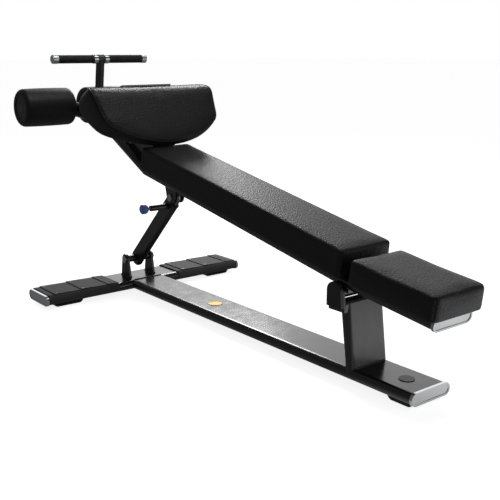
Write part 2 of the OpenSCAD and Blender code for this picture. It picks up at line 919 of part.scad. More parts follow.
base_rail();
base_crossbar();
rail_end_cap();
crossbar_end_cap_left();
crossbar_end_cap_right();
tread_cover_left();
tread_cover_right();
tread_screws();
rubber_foot_left();
rubber_foot_right();
rubber_foot_head();
upright_post();
post_top_plate();
hinge_ear_left();
hinge_ear_right();
hinge_cover_left();
hinge_cover_right();
hinge_bolt();
clevis_ear_left();
clevis_ear_right();
clevis_bolt();
rail_plug();
rail_badge();
main_beam();
beam_end_cap();
hinge_barrel();
hinge_bushes();
long_pad_board();
long_cushion();
head_pad_board();
head_cushion();
upper_tube();
upper_end_plate();
thigh_brackets();
thigh_pad_board();
thigh_shield();
thigh_cushion();
foot_arm();
roller_axle();
foam_roller_left();
foam_roller_right();
roller_core_left();
roller_core_right();
handle_post();
handle_bar();
handle_tee();
handle_collars();
handle_end_caps();
grip_left();
grip_right();
strut_bracket();
strut_top_bolt();
strut_outer();
strut_end_block();
strut_collar();
pin_housing();
strut_inner();
pin_plunger();
pin_knob();
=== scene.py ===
"""Looks of the adjustable sit-up and decline bench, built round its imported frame."""

import math

import bmesh
import bpy
import numpy as np
from mathutils import Matrix, Vector
from mathutils.bvhtree import BVHTree
from mathutils.geometry import convex_hull_2d


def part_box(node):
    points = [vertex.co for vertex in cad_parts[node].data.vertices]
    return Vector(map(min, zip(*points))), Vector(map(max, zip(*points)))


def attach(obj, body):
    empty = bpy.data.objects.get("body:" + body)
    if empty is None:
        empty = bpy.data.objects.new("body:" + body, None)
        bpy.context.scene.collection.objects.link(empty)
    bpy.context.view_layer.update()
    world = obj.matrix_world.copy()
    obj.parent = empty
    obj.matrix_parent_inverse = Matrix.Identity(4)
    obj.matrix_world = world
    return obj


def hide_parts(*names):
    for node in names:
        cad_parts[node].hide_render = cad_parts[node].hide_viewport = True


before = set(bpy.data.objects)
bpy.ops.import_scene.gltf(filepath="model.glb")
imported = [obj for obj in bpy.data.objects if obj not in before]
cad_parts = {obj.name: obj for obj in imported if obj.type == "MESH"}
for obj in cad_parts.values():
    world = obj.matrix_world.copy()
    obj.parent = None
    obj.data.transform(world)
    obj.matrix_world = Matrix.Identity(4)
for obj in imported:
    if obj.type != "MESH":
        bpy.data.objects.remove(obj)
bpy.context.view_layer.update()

bl_info = {
    "name": "Adjustable bench looks",
    "version": (1, 0, 0),
    "blender": (4, 5, 0),
    "location": "View3D > Sidebar > Bench",
    "description": "Upholstery, finishes and stage of an adjustable sit-up bench",
    "category": "Object",
}

# The thigh pad in section: a roll along its top, and a thinner rounded edge below. The edge's middle
# lies EDGE_DOWN down the face and EDGE_OUT above the roll's axis.
ROLL_RADIUS = 0.056
EDGE_DOWN, EDGE_OUT, EDGE_RADIUS = 0.157, 0.038, 0.018
BACK_EDGE = 0.009           # radius of the thigh pad's edge at its back
THIGH_MIDDLE = Vector((0.045, 0))

BOARD_REVEAL = 0.0085       # rim of cover round the board, under a back pad
BOARD_RECESS = 0.0022
GLUED_HEIGHT = 0.016        # the back pads' covers are held up to here
THIGH_GLUED = 0.008         # and the thigh pad's cover this far off its back

SEAM_CORNER = 0.022         # radius of the corners that the seams run down
SEAM_WIDTH, SEAM_DEPTH = 0.0028, 0.0016
STITCH_ASIDE = 0.0042       # from a seam to the stitches on either side
STITCH_LIFT = 0.0002
THREAD_WIDTH = 0.0011
PIPING_INSET, PIPING_LIFT = 0.007, 0.0006
RIM_STITCH_INSET = 0.0155   # from the thigh pad's outline to its stitches

FOAM_BORE = 0.0222          # radius of the hole through a foam roller
FOAM_RECESS = 0.0072        # how deep the roller's cap sits in its end
FOAM_CROWN = 0.0012         # how much fuller a roller is at its middle
FOAM_END = 0.017            # radius of a roller's rounded ends

WELD_PITCH, WELD_LENGTH = 0.0021, 0.0046
TUBE_ROUNDING = 0.015       # a weld leaves out the tube's rounded edges
POST_DEPTH = 0.0303         # the post's foot from front to back, with its weld
CROSSBAR_CREST = 0.0145     # from the crossbar's edge to its weld
PLATE_SLOPE = math.radians(27)
ARM_WELD = (0.0155, 0.0125)     # half width and half height of the weld round the foot arm
PAD_TO_BOLT = 0.0300        # from the long pad's lowest point down to its bolts
BOLT_ASIDE = 0.03
BOLT_SHARES = (0.06, 0.32, 0.46, 0.72, 0.9)     # places of the bolts along the long pad


# ---------------------------------------------------------------- settings

def metres(name, description, default):
    """A setting in metres."""
    return bpy.props.FloatProperty(name=name, description=description, default=default, unit="LENGTH")


def degrees(name, description, default):
    """A setting in degrees, kept in radians."""
    return bpy.props.FloatProperty(
        name=name, description=description, default=math.radians(default), subtype="ANGLE")


def colour(name, description, default):
    """A colour setting."""
    return bpy.props.FloatVectorProperty(
        name=name, description=description, default=default, subtype="COLOR")


class BenchUpholstery(bpy.types.PropertyGroup):
    board_slope: degrees("Long pad slope", "Slope of the long pad", 10.55)
    head_slope: degrees("Head pad slope", "Slope of the head pad", 7.45)
    thigh_slope: degrees("Thigh pad slope", "Slope of the thigh pad's face", 58.3)
    shrink: metres("Foam inset", "How far the foam starts inside the pad's outline", 0.0015)
    grid: metres("Cloth grid", "Spacing of the cover's points before it is smoothed", 0.006)
    pressure: bpy.props.FloatProperty(
        name="Foam pressure", description="How hard the foam pushes the cover out", default=4.0)
    swell: metres("Most swell", "Furthest that the cover may move", 0.003)
    thigh_edge: metres("Thigh pad edge", "Radius of the thigh pad's front edge", 0.014)
    corner: metres("Corner radius", "Radius in plan of the back pads' corners", 0.0105)
    head_corner: metres("Head corner radius", "Radius of the corners at the head pad's lower end", 0.019)
    top_edge: metres("Top edge", "Radius of the back pads' top edge", 0.009)
    low_edge: metres("Lower edge", "Radius of the back pads' lower edge", 0.003)
    stitch_pitch: metres("Stitch pitch", "Distance between stitches", 0.0048)
    piping_radius: metres("Piping radius", "Radius of the thigh pad's piping", 0.0021)
    vinyl: colour("Vinyl", "Colour of the covers", (0.009, 0.009, 0.0095))


class BenchFrameFinish(bpy.types.PropertyGroup):
    paint: colour("Powder coat", "Colour of the frame", (0.012, 0.012, 0.0125))
    knob: colour("Knob", "Colour of the pop-pin's knob", (0.2, 0.36, 0.88))
    weld_width: metres("Weld width", "Width of the weld beads", 0.0062)
    bolt_size: metres("Bolt size", "Width across the flats of the bolts under the pads", 0.013)


class BenchStage(bpy.types.PropertyGroup):
    focal: bpy.props.FloatProperty(
        name="Focal length", description="Camera's focal length, in millimetres", default=59.79)
    eye: bpy.props.FloatVectorProperty(
        name="Camera", description="Where the camera stands", default=(2.03584, -1.48175, 0.825),
        subtype="TRANSLATION")
    yaw: degrees("Yaw", "Turn of the view from +Y towards -X", 51.38)
    pitch: degrees("Pitch", "Downward tilt of the view", 13.6)
    sky: bpy.props.FloatProperty(
        name="Sky", description="Brightness of the sky ahead of the camera", default=1.55)


def upholstery():
    return bpy.context.scene.bench_upholstery


def finish():
    return bpy.context.scene.bench_finish


# ---------------------------------------------------------------- materials

class Shader:
    """A material with a Principled shader, and short ways to add patterns to it.
    A pattern's scale is in repeats to the metre."""

    def __init__(self, name, color, roughness, metallic=0.0, specular=0.5):
        self.material = bpy.data.materials.new(name)
        self.material.use_nodes = True
        self.tree = self.material.node_tree
        self.shader = self.tree.nodes["Principled BSDF"]
        self.color = color
        self.set("Base Color", (*color, 1.0))
        self.set("Roughness", roughness)
        self.set("Metallic", metallic)
        self.set("Specular IOR Level", specular)
        self.place = self.add("ShaderNodeTexCoord").outputs["Object"]
        self.height = None

    def add(self, kind, **values):
        node = self.tree.nodes.new(kind)
        for key, value in values.items():
            setattr(node, key, value)
        return node

    def link(self, source, target):
        self.tree.links.new(source, target)

    def set(self, socket, value):
        self.shader.inputs[socket].default_value = value

    def stretched(self, scale):
        """Coordinates stretched along an axis, as for brushing or wood grain."""
        mapping = self.add("ShaderNodeMapping")
        mapping.inputs["Scale"].default_value = scale
        self.link(self.place, mapping.inputs["Vector"])
        return mapping.outputs["Vector"]

    def noise(self, scale, detail=4.0, place=None, distortion=0.0):
        node = self.add("ShaderNodeTexNoise")
        node.inputs["Scale"].default_value = scale
        node.inputs["Detail"].default_value = detail
        node.inputs["Distortion"].default_value = distortion
        self.link(place or self.place, node.inputs["Vector"])
        return node.outputs["Fac"]

    def cells(self, scale, feature="F1"):
        node = self.add("ShaderNodeTexVoronoi", feature=feature)
        node.inputs["Scale"].default_value = scale
        self.link(self.place, node.inputs["Vector"])
        return node.outputs["Distance"]

    def ranged(self, value, low, high, at_low, at_high):
        """A value mapped from one range to another and kept inside it."""
        node = self.add("ShaderNodeMapRange")
        for key, number in zip(("From Min", "From Max", "To Min", "To Max"), (low, high, at_low, at_high)):
            node.inputs[key].default_value = number
        self.link(value, node.inputs["Value"])
        return node.outputs["Result"]

    def varied(self, pattern, dark=0.8, light=1.25):
        """Lets the colour drift between a darker and a lighter one with a pattern."""
        ramp = self.add("ShaderNodeValToRGB")
        for stop, position, factor in zip(ramp.color_ramp.elements, (0.3, 0.7), (dark, light)):
            stop.position = position
            stop.color = (*[min(c * factor, 1) for c in self.color], 1)
        self.link(pattern, ramp.inputs["Fac"])
        self.link(ramp.outputs["Color"], self.shader.inputs["Base Color"])
        return self

    def rough(self, pattern, low, high):
        """Lets the roughness drift between two values with a pattern."""
        self.link(self.ranged(pattern, 0.3, 0.7, low, high), self.shader.inputs["Roughness"])
        return self

    def relief(self, pattern, depth, strength=1.0):
        """Bump of a depth in metres; a second call lies on the first."""
        bump = self.add("ShaderNodeBump")
        bump.inputs["Distance"].default_value = depth
        bump.inputs["Strength"].default_value = strength
        self.link(pattern, bump.inputs["Height"])
        if self.height:
            self.link(self.height, bump.inputs["Normal"])
        self.height = bump.outputs["Normal"]
        self.link(self.height, self.shader.inputs["Normal"])
        return self


def powder_coat(name, color, roughness, specular):
    """Powder coat: a hard gloss with the faint orange peel of baked powder."""
    s = Shader(name, color, roughness, specular=specular)
    s.varied(s.noise(9, 5), 0.85, 1.3).rough(s.noise(35, 4), roughness * 0.8, roughness * 1.3)
    return s.relief(s.noise(420, 2), 0.00004, 0.4)


def vinyl(name, color, roughness):
    """Upholstery vinyl: small pebbles with creases between them."""
    s = Shader(name, color, roughness, specular=0.4)
    s.set("Sheen Weight", 0.05)
    s.set("Sheen Roughness", 0.5)
    s.varied(s.noise(14, 6), 0.9, 1.12).rough(s.noise(500, 3), roughness - 0.04, roughness + 0.07)
    return s.relief(s.cells(235, "SMOOTH_F1"), 0.0013, 0.8).relief(s.noise(1500, 2), 0.0001, 0.4)


def foam_skin(name, color):
    """Moulded foam: a soft closed skin with shallow dimples."""
    s = Shader(name, color, 0.5, specular=0.45)
    s.set("Sheen Weight", 0.08)
    s.varied(s.noise(18, 5), 0.8, 1.3).rough(s.noise(50, 4), 0.42, 0.58)
    return s.relief(s.cells(900), 0.00015, 0.4)


def moulded(name, color, roughness, grain=900, depth=0.00012):
    """Moulded plastic with a spark-eroded texture."""
    s = Shader(name, color, roughness, specular=0.45)
    s.varied(s.noise(12, 5), 0.88, 1.14).rough(s.noise(45, 4), roughness - 0.05, roughness + 0.08)
    return s.relief(s.noise(grain, 3), depth, 0.6)


def rubber(name, color):
    """Rubber with a fine matt grain."""
    s = Shader(name, color, 0.62, specular=0.35)
    s.varied(s.noise(25, 5), 0.8, 1.35).rough(s.noise(70, 4), 0.55, 0.72)
    return s.relief(s.noise(1500, 3), 0.0001, 0.5)


def metal(name, color, roughness, brushing=(1, 1, 1)):
    """Bare or plated metal, with brushing lines where the pattern is stretched."""
    s = Shader(name, color, roughness, metallic=1.0)
    lines = s.noise(700, 3, s.stretched(brushing))
    s.varied(s.noise(16, 5), 0.9, 1.06).rough(lines, roughness * 0.8, roughness * 1.3)
    return s.relief(lines, 0.00003, 0.5)


def plywood(name, color):
    """Bare plywood, with its grain along X."""
    s = Shader(name, color, 0.6)
    grain = s.noise(14, 8, s.stretched((1.2, 16, 16)), 0.6)
    s.varied(grain, 0.65, 1.2)
    return s.relief(grain, 0.0002, 0.5)


def stage_floor(name):
    """White where it is seen. To the bench it is no lit floor but a painted one: dark, so the bench's
    undersides stay in painted shade, and glowing in one patch at its side, a painted pool of light that its
    end faces catch."""
    # Middle of the floor's painted pool of light, beside the bench.
    glow_centre = (1.45, 0.75, 0)
    s = Shader(name, (0.9, 0.9, 0.9), 0.9, specular=0.0)
    s.set("Emission Color", (1, 1, 1, 1))
    s.set("Emission Strength", 0.86)
    away = s.add("ShaderNodeVectorMath", operation="DISTANCE")
    away.inputs[1].default_value = glow_centre
    s.link(s.place, away.inputs[0])
    # Painted light: for every ray but the camera's, the floor glows, brightest at the patch beside the bench
    # and fading to a faint glow away from it, as painted shade under the bench.
    dim = s.add("ShaderNodeEmission")
    s.link(s.ranged(away.outputs["Value"], 0.5, 1.2, 1.0, 0.12), dim.inputs["Strength"])
    path = s.add("ShaderNodeLightPath")
    mix = s.add("ShaderNodeMixShader")
    s.link(path.outputs["Is Camera Ray"], mix.inputs["Fac"])
    s.link(dim.outputs["Emission"], mix.inputs[1])
    s.link(s.shader.outputs["BSDF"], mix.inputs[2])
    s.link(mix.outputs["Shader"], s.tree.nodes["Material Output"].inputs["Surface"])


def materials():
    """Every finish, made once."""
    made = bpy.data.materials
    if "powder_coat" not in made:
        paint, cover = tuple(finish().paint), tuple(upholstery().vinyl)
        powder_coat("powder_coat", paint, 0.2, 1.0)
        powder_coat("satin_coat", tuple(c * 1.8 for c in paint), 0.33, 0.9)
        vinyl("vinyl", cover, 0.46)
        foam_skin("foam_skin", (0.007, 0.007, 0.008))
        moulded("tread_plastic", (0.036, 0.036, 0.038), 0.5, 700, 0.0002)
        moulded("satin_plastic", (0.032, 0.032, 0.034), 0.4)
        moulded("knob_plastic", tuple(finish().knob), 0.3, 500, 0.00005)
        rubber("rubber", (0.012, 0.012, 0.012))
        rubber("grip_rubber", (0.026, 0.026, 0.027))
        metal("bright_aluminium", (0.86, 0.865, 0.88), 0.28, (1, 1, 12))
        metal("brushed_aluminium", (0.56, 0.565, 0.575), 0.3, (1, 1, 12))
        metal("chrome", (0.8, 0.81, 0.83), 0.36)
        metal("zinc", (0.58, 0.59, 0.61), 0.34, (1, 8, 1))
        metal("drawn_steel", (0.34, 0.345, 0.355), 0.3, (1, 10, 1))
        metal("bronze", (0.6, 0.4, 0.2), 0.35)
        metal("badge_brass", (0.42, 0.27, 0.07), 0.42)
        metal("shield_steel", (0.7, 0.71, 0.73), 0.34, (1, 1, 10))
        plywood("plywood", (0.46, 0.31, 0.18))
        moulded("thread", (0.02, 0.02, 0.021), 0.6, 2500, 0.0001)
        stage_floor("floor")
    return made


# Every CAD node that is shown, under its finish.
NODE_FINISHES = {
    "powder_coat": ["base_rail", "base_crossbar", "upright_post", "post_top_plate", "hinge_ear_left",
                    "hinge_ear_right", "main_beam", "upper_tube", "upper_end_plate", "thigh_brackets",
                    "foot_arm", "hinge_barrel", "handle_bar"],
    "satin_coat": ["roller_axle", "handle_post", "handle_tee", "clevis_ear_left", "clevis_ear_right",
                   "strut_bracket", "strut_outer", "strut_end_block", "pin_housing"],
    "brushed_aluminium": ["beam_end_cap"],
    "bright_aluminium": ["rail_end_cap", "crossbar_end_cap_left", "crossbar_end_cap_right",
                         "handle_collars"],
    "chrome": ["handle_end_caps"],
    "zinc": ["hinge_bolt", "clevis_bolt", "strut_top_bolt"],
    "drawn_steel": ["strut_inner", "tread_screws", "pin_plunger"],
    "bronze": ["hinge_bushes"],
    "badge_brass": ["rail_badge"],
    "shield_steel": ["thigh_shield"],
    "tread_plastic": ["tread_cover_left", "tread_cover_right"],
    "satin_plastic": ["hinge_cover_left", "hinge_cover_right", "rail_plug", "strut_collar",
                      "roller_core_left", "roller_core_right"],
    "knob_plastic": ["pin_knob"],
    "rubber": ["rubber_foot_left", "rubber_foot_right", "rubber_foot_head"],
    "grip_rubber": ["grip_left", "grip_right"],
    "plywood": ["long_pad_board", "head_pad_board", "thigh_pad_board"],
}


# ---------------------------------------------------------------- mesh helpers

def in_frame(node, matrix):
    """Lowest and highest corner of a CAD node, measured in a turned frame."""
    back = matrix.inverted()
    points = np.array([back @ v.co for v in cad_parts[node].data.vertices])
    return Vector(points.min(0)), Vector(points.max(0))


def turned_frame(node, slope):
    """A frame that slopes down towards +X, with its origin at the node's lowest corner."""
    turn = Matrix.Rotation(slope, 4, "Y")
    low, _ = in_frame(node, turn)
    return turn @ Matrix.Translation((low.x, 0, low.z))


def in_scene(name, data):
    """A new object at the origin."""
    added = bpy.data.objects.new(name, data)
    bpy.context.scene.collection.objects.link(added)
    return added


def make_piece(name, mesh, material, body):
    """An object at the origin from a mesh in the row frame, riding on a body."""
    mesh.name = name
    piece = in_scene(name, mesh)
    if material:
        mesh.materials.clear()
        mesh.materials.append(materials()[material])
    for polygon in mesh.polygons:
        polygon.use_smooth = True
    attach(piece, body)
    return piece


def to_mesh(bm, name):
    """A mesh from a bmesh, which is freed."""
    mesh = bpy.data.meshes.new(name)
    bm.to_mesh(mesh)
    bm.free()
    return mesh


def evaluated(piece):
    """A plain mesh of a piece with its modifiers applied."""
    graph = bpy.context.evaluated_depsgraph_get()
    return bpy.data.meshes.new_from_object(piece.evaluated_get(graph))


def with_modifiers(mesh, name, *steps):
    """Applies modifiers, each a kind and its settings, to a mesh through a scratch object."""
    scratch = in_scene(name, mesh)
    for kind, values in steps:
        modifier = scratch.modifiers.new(kind.title(), kind)
        for key, value in values.items():
            setattr(modifier, key, value)
    result = evaluated(scratch)
    bpy.data.objects.remove(scratch)
    return result


def tube_along(points, radius, closed=False, sides=10):
    """A closed round tube along points."""
    bm = bmesh.new()
    rings = []
    count = len(points)
    normal = None
    for i, point in enumerate(points):
        ahead = points[(i + 1) % count] if closed or i + 1 < count else point
        behind = points[i - 1] if closed or i else point
        tangent = (Vector(ahead) - Vector(behind)).normalized()
        if normal is None:
            normal = tangent.orthogonal().normalized()
        normal = (normal - tangent * normal.dot(tangent)).normalized()
        side = tangent.cross(normal)
        rings.append([bm.verts.new(Vector(point) + radius * (
            normal * math.cos(t * 2 * math.pi / sides) + side * math.sin(t * 2 * math.pi / sides)))
            for t in range(sides)])
    pairs = list(zip(rings, rings[1:])) + ([(rings[-1], rings[0])] if closed else [])
    for low, high in pairs:
        for t in range(sides):
            bm.faces.new((low[t], low[(t + 1) % sides], high[(t + 1) % sides], high[t]))
    if not closed:
        bm.faces.new(list(reversed(rings[0])))
        bm.faces.new(rings[-1])
    bmesh.ops.recalc_face_normals(bm, faces=bm.faces)
    return to_mesh(bm, "tube")


def paths_mesh(paths):
    """Edges along each list of points."""
    mesh = bpy.data.meshes.new("paths")
    points, edges = [], []
    for path in paths:
        start = len(points)
        points += [tuple(p) for p in path]
        edges += [(start + i, start + i + 1) for i in range(len(path) - 1)]
    mesh.from_pydata(points, edges, [])
    return mesh


# ---------------------------------------------------------------- geometry nodes

def tree_inputs(tree, **kinds):
    """Gives a node tree its named inputs, and adds its input and output nodes."""
    tree.interface.new_socket("Geometry", in_out="INPUT", socket_type="NodeSocketGeometry")
    for name, kind in kinds.items():
        tree.interface.new_socket(name.replace("_", " ").capitalize(), in_out="INPUT", socket_type=kind)
    tree.interface.new_socket("Geometry", in_out="OUTPUT", socket_type="NodeSocketGeometry")
    return tree.nodes.new("NodeGroupInput"), tree.nodes.new("NodeGroupOutput")


def placed_and_painted(tree, given, result, points, shape, turn, scale):
    """Ends a tree: the shape stands at each point, is made real and gets its finish."""
    add, link = tree.nodes.new, tree.links.new
    place = add("GeometryNodeInstanceOnPoints")
    real = add("GeometryNodeRealizeInstances")
    paint = add("GeometryNodeSetMaterial")
    for source, socket in ((points, "Points"), (shape, "Instance"), (turn, "Rotation"), (scale, "Scale")):
        link(source, place.inputs[socket])
    link(place.outputs["Instances"], real.inputs["Geometry"])
    link(real.outputs["Geometry"], paint.inputs["Geometry"])
    link(given.outputs["Finish"], paint.inputs["Material"])
    link(paint.outputs["Geometry"], result.inputs["Geometry"])
    return tree


def bead_row_tree():
    """Repeats a small rounded bead along a path, turned to follow it: stitches and weld ripples."""
    if "bead_row" in bpy.data.node_groups:
        return bpy.data.node_groups["bead_row"]
    tree = bpy.data.node_groups.new("bead_row", "GeometryNodeTree")
    given, result = tree_inputs(tree, pitch="NodeSocketFloat", length="NodeSocketFloat",
                                width="NodeSocketFloat", detail="NodeSocketInt", finish="NodeSocketMaterial")
    add, link = tree.nodes.new, tree.links.new
    curve = add("GeometryNodeMeshToCurve")
    spaced = add("GeometryNodeResampleCurve")
    spaced.mode = "LENGTH"
    bead = add("GeometryNodeMeshIcoSphere")
    bead.inputs["Radius"].default_value = 0.5
    tangent = add("GeometryNodeInputTangent")
    turn = add("FunctionNodeAlignRotationToVector")
    turn.axis = "X"
    size = add("ShaderNodeCombineXYZ")
    link(given.outputs["Geometry"], curve.inputs["Mesh"])
    link(curve.outputs["Curve"], spaced.inputs["Curve"])
    link(given.outputs["Pitch"], spaced.inputs["Length"])
    link(given.outputs["Detail"], bead.inputs["Subdivisions"])
    link(tangent.outputs[0], turn.inputs["Vector"])
    for output, axis in (("Length", "X"), ("Width", "Y"), ("Width", "Z")):
        link(given.outputs[output], size.inputs[axis])
    return placed_and_painted(tree, given, result, spaced.outputs["Curve"], bead.outputs["Mesh"],
                              turn.outputs["Rotation"], size.outputs["Vector"])


def bolt_set_tree():
    """Puts a hexagon bolt head, its washer and its raised middle at each point. The sizes here are
    shares of the bolt's width."""
    if "bolt_set" in bpy.data.node_groups:
        return bpy.data.node_groups["bolt_set"]
    tree = bpy.data.node_groups.new("bolt_set", "GeometryNodeTree")
    given, result = tree_inputs(tree, turn="NodeSocketRotation", size="NodeSocketFloat",
                                finish="NodeSocketMaterial")
    add, link = tree.nodes.new, tree.links.new
    joined = add("GeometryNodeJoinGeometry")
    for sides, radius, depth, lift in ((6, 0.577, 0.55, 0.4), (28, 0.95, 0.13, 0.065), (18, 0.3, 0.2, 0.76)):
        part = add("GeometryNodeMeshCylinder")
        part.inputs["Vertices"].default_value = sides
        part.inputs["Radius"].default_value = radius
        part.inputs["Depth"].default_value = depth
        moved = add("GeometryNodeTransform")
        moved.inputs["Translation"].default_value = (0, 0, lift)
        link(part.outputs["Mesh"], moved.inputs["Geometry"])
        link(moved.outputs["Geometry"], joined.inputs["Geometry"])
    return placed_and_painted(tree, given, result, given.outputs["Geometry"], joined.outputs["Geometry"],
                              given.outputs["Turn"], given.outputs["Size"])


def run_tree(name, mesh, tree, body, slot, smooth=True, **values):
    """A plain mesh from a node tree run on a mesh, as a piece that rides on a body."""
    scratch = in_scene(name + "_source", mesh)
    modifier = scratch.modifiers.new("Rule", "NODES")
    modifier.node_group = tree
    sockets = {s.name.lower(): s.identifier for s in tree.interface.items_tree if s.in_out == "INPUT"}
    for key, value in values.items():
        modifier[sockets[key]] = value
    result = evaluated(scratch)
    bpy.data.objects.remove(scratch)
    piece = make_piece(name, result, None, body)
    if not smooth:
        for polygon in result.polygons:
            polygon.use_smooth = False
    return piece


# ---------------------------------------------------------------- padded pieces

def hold(piece, flat):
    """Marks the points of a cover that stay where they are while the foam swells."""
    held = piece.vertex_groups.new(name="held")
    held.add([v.index for v in piece.data.vertices if flat(v.co)], 1.0, "REPLACE")
    return piece


def rounded(distance, height, radius):
    """Moves a point near a square edge on to the arc that rounds it off.
    distance is measured in from the side, height down from the top."""
    if distance >= radius or height >= radius:
        return distance, height
    across, up = radius - distance, radius - height
    share = max(across, up) / math.hypot(across, up)
    return radius - across * share, radius - up * share


def blank_from(bm, name, matrix):
    """An object from a bmesh whose faces are turned outwards, put in its place on the bench."""
    bmesh.ops.recalc_face_normals(bm, faces=bm.faces)
    bmesh.ops.transform(bm, matrix=matrix, verts=bm.verts)
    return in_scene(name, to_mesh(bm, name))


def back_pad_blank(name, node, matrix, end_corner):
    """An even skin over a back pad: round plan corners, a soft top edge, a firm lower edge, and a
    shallow recess underneath that shows the board."""
    u = upholstery()
    low, high = in_frame(node, matrix)
    low, high = low + Vector((u.shrink, u.shrink, 0)), high - Vector((u.shrink, u.shrink, u.shrink))
    size = high - low
    counts = [max(2, round(size[k] / u.grid)) for k in range(3)]
    bm = bmesh.new()
    made = {}

    def vertex(i, j, k):
        if (i, j, k) not in made:
            made[i, j, k] = bm.verts.new(pad_point(low, high, end_corner, Vector(
                [low[a] + size[a] * n / counts[a] for a, n in enumerate((i, j, k))])))
        return made[i, j, k]

    for axis in range(3):
        a, b = [k for k in range(3) if k != axis]
        for end in (0, counts[axis]):
            for m in range(counts[a]):
                for n in range(counts[b]):
                    corners = []
                    for dm, dn in ((0, 0), (1, 0), (1, 1), (0, 1)):
                        index = [0, 0, 0]
                        index[axis], index[a], index[b] = end, m + dm, n + dn
                        corners.append(vertex(*index))
                    bm.faces.new(corners)
    back = matrix.inverted()
    return hold(blank_from(bm, name, matrix), lambda p: (back @ p).z < low.z + GLUED_HEIGHT)


def pad_point(low, high, end_corner, point):
    """Where a point of the square block lies on the rounded pad."""
    u = upholstery()
    nothing = 1e-9
    corner = u.corner if point.x < (low.x + high.x) / 2 else end_corner
    inner = Vector((min(max(point.x, low.x + corner), high.x - corner),
                    min(max(point.y, low.y + corner), high.y - corner)))
    off = Vector((point.x, point.y)) - inner
    reach = max(abs(off.x), abs(off.y))
    top_inside, down = rounded(corner - reach, high.z - point.z, u.top_edge)
    low_inside, up = rounded(top_inside, point.z - low.z, u.low_edge)
    z = high.z - down if point.z > (low.z + high.z) / 2 else low.z + up
    spot = inner + off.normalized() * (corner - low_inside) if reach > nothing else inner
    if (point.z <= low.z + 1e-6 and low.x + BOARD_REVEAL < spot.x < high.x - BOARD_REVEAL
            and low.y + BOARD_REVEAL < spot.y < high.y - BOARD_REVEAL):
        z += BOARD_RECESS
    return Vector((spot.x, spot.y, z))


def thigh_section(x, back_angle):
    """Heights of the thigh pad's face and back at a distance down the face: a roll at the top that
    draws in to a thin lower edge."""
    if x < 0:
        top = math.sqrt(max(ROLL_RADIUS ** 2 - x ** 2, 0))
    elif x <= EDGE_DOWN:
        top = EDGE_OUT + EDGE_RADIUS
    else:
        top = EDGE_OUT + math.sqrt(max(EDGE_RADIUS ** 2 - (x - EDGE_DOWN) ** 2, 0))
    roll_end = ROLL_RADIUS * math.sin(back_angle)
    if x < roll_end:
        low = -math.sqrt(max(ROLL_RADIUS ** 2 - x ** 2, 0))
    elif x < EDGE_DOWN + EDGE_RADIUS * math.sin(back_angle):
        low = -ROLL_RADIUS * math.cos(back_angle) + (x - roll_end) * math.tan(back_angle)
    else:
        low = EDGE_OUT - math.sqrt(max(EDGE_RADIUS ** 2 - (x - EDGE_DOWN) ** 2, 0))
    return top, low


def eased(distance, radius):
    """How far a rounded edge has dropped at a distance in from the side."""
    if distance >= radius:
        return 0.0
    return radius - math.sqrt(radius ** 2 - (radius - distance) ** 2)


def thigh_blank(matrix, back_angle, spokes=150, wall_rows=9):
    """The thigh pad as rings round its middle: face, side wall and back. The rings lie close
    together in the outer band, where the edge is rounded."""
    u = upholstery()
    rim = thigh_outline(matrix, u.shrink, spokes)
    band = 0.13
    close = (0, 0.03, 0.11, 0.245, 0.425, 0.675, 1)
    inner_rings = 16
    shares = [1 - t * band for t in close]
    shares += [(1 - band) * k / inner_rings for k in range(inner_rings - 1, 0, -1)]
    bm = bmesh.new()
    faces, backs = [], []
    for share in shares:
        face_ring, back_ring = [], []
        for point in rim:
            spot = THIGH_MIDDLE + (point - THIGH_MIDDLE) * share
            inside = (point - THIGH_MIDDLE).length * (1 - share)
            top, low = thigh_section(spot.x, back_angle)
            thick = top - low
            top -= eased(inside, min(u.thigh_edge, 0.42 * thick))
            low += eased(inside, min(BACK_EDGE, 0.3 * thick))
            face_ring.append(bm.verts.new((spot.x, spot.y, top)))
            back_ring.append(bm.verts.new((spot.x, spot.y, low)))
        faces.append(face_ring)
        backs.append(back_ring)
    walls = [faces[0]]
    for row in range(1, wall_rows):
        walls.append([bm.verts.new(a.co.lerp(b.co, row / wall_rows)) for a, b in zip(faces[0], backs[0])])
    walls.append(backs[0])
    for rings in (faces, backs, walls):
        for ring, following in zip(rings, rings[1:]):
            for i in range(spokes):
                j = (i + 1) % spokes
                bm.faces.new((ring[i], ring[j], following[j], following[i]))
    for rings in (faces, backs):
        pole = bm.verts.new(sum((v.co for v in rings[-1]), Vector()) / spokes)
        for i in range(spokes):
            bm.faces.new((rings[-1][i], rings[-1][(i + 1) % spokes], pole))
    bmesh.ops.remove_doubles(bm, verts=bm.verts, dist=5e-5)
    return blank_from(bm, "thigh_blank", matrix)


def swollen(covers, frames=20):
    """A mesh of each cover after the foam's pressure has swelled them as cloth."""
    for piece in covers:
        cloth = piece.modifiers.new("Cloth", "CLOTH")
        s = cloth.settings
        s.quality = 5
        s.mass = 0.3
        s.tension_stiffness = s.compression_stiffness = 22
        s.shear_stiffness = 12
        s.bending_stiffness = 4
        s.use_pressure = True
        s.uniform_pressure_force = upholstery().pressure
        s.vertex_group_mass = "held"
        s.effector_weights.gravity = 0
        cloth.collision_settings.use_collision = False
        cloth.point_cache.frame_end = frames
    for step in range(1, frames + 1):
        bpy.context.scene.frame_set(step)
    meshes = [evaluated(piece) for piece in covers]
    bpy.context.scene.frame_set(1)
    return meshes


def inflate(covers):
    """Swells the covers, then keeps each point near where it started."""
    most = upholstery().swell
    meshes = swollen(covers)
    for piece, mesh in zip(covers, meshes):
        rest = np.array([v.co for v in piece.data.vertices])
        move = np.array([v.co for v in mesh.vertices]) - rest
        length = np.linalg.norm(move, axis=1)
        print(piece.name, "moved", round(float(length.max()) * 1000, 2), "mm at most")
        share = most * np.tanh(length / most) / np.maximum(length, 1e-9)
        now = rest + evened(mesh, move * share[:, None])
        mesh.vertices.foreach_set("co", now.astype(np.float32).ravel())
        mesh.update()
        piece.modifiers.clear()
        piece.vertex_groups.clear()
        piece.data = mesh
    return covers


